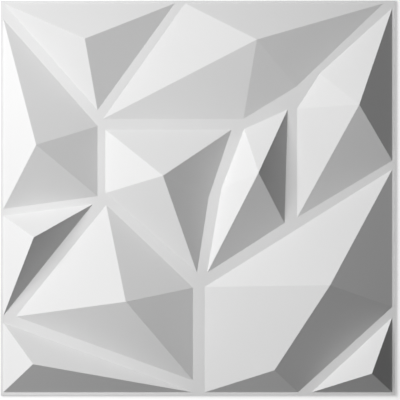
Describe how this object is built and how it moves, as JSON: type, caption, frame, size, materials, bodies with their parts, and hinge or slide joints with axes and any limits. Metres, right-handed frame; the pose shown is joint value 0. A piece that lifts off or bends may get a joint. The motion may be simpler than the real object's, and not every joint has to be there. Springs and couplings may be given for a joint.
{
  "type": "3d wall panel tile",
  "caption": "Square wall panel tile formed from one white plastic sheet: faceted pyramids with flat channels between them and a flat rim, open at the back, glued to a wall.",
  "frame": {"origin": "middle of the back plane, in which the rim and the channels lie against the wall", "axes": "+X and +Y along the sides of the tile, to the right and up in the picture, and +Z out of its front"},
  "size_m": [0.5, 0.5, 0.048],
  "materials": {
    "white_plastic": "matte"
  },
  "bodies": {
    "root": {"panel": "white_plastic"}
  },
  "joints": []
}
